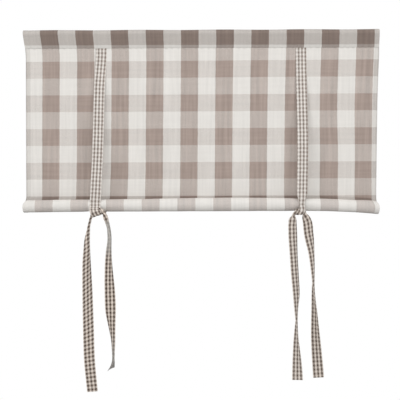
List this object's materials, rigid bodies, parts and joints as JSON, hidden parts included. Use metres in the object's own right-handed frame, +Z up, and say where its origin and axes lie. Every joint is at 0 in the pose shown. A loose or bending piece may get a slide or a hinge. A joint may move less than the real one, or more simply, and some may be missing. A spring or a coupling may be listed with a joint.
{
  "type": "tie up curtain",
  "caption": "Gingham roll-up curtain panel with a rod tunnel, its lower end rolled up and held by two pairs of narrow ties half-knotted under the roll.",
  "frame": {"origin": "on the axis of the curtain rod, where it runs through the tunnel, midway between the panel's sides", "axes": "+X along the rod to the viewer's right, +Y from the front to the back of the panel, +Z up; the flat panel hangs in the plane Y = 0"},
  "size_m": [1, 0.0865, 1.0161],
  "materials": {
    "panel_cotton": "matt plain-woven cotton, 50 mm gingham check",
    "tie_cotton": "matt plain-woven cotton, 5 mm gingham check"
  },
  "bodies": {
    "root": {"panel": "panel_cotton", "tie_left_front": "tie_cotton", "tie_left_back": "tie_cotton", "tie_right_front": "tie_cotton", "tie_right_back": "tie_cotton"}
  },
  "joints": []
}
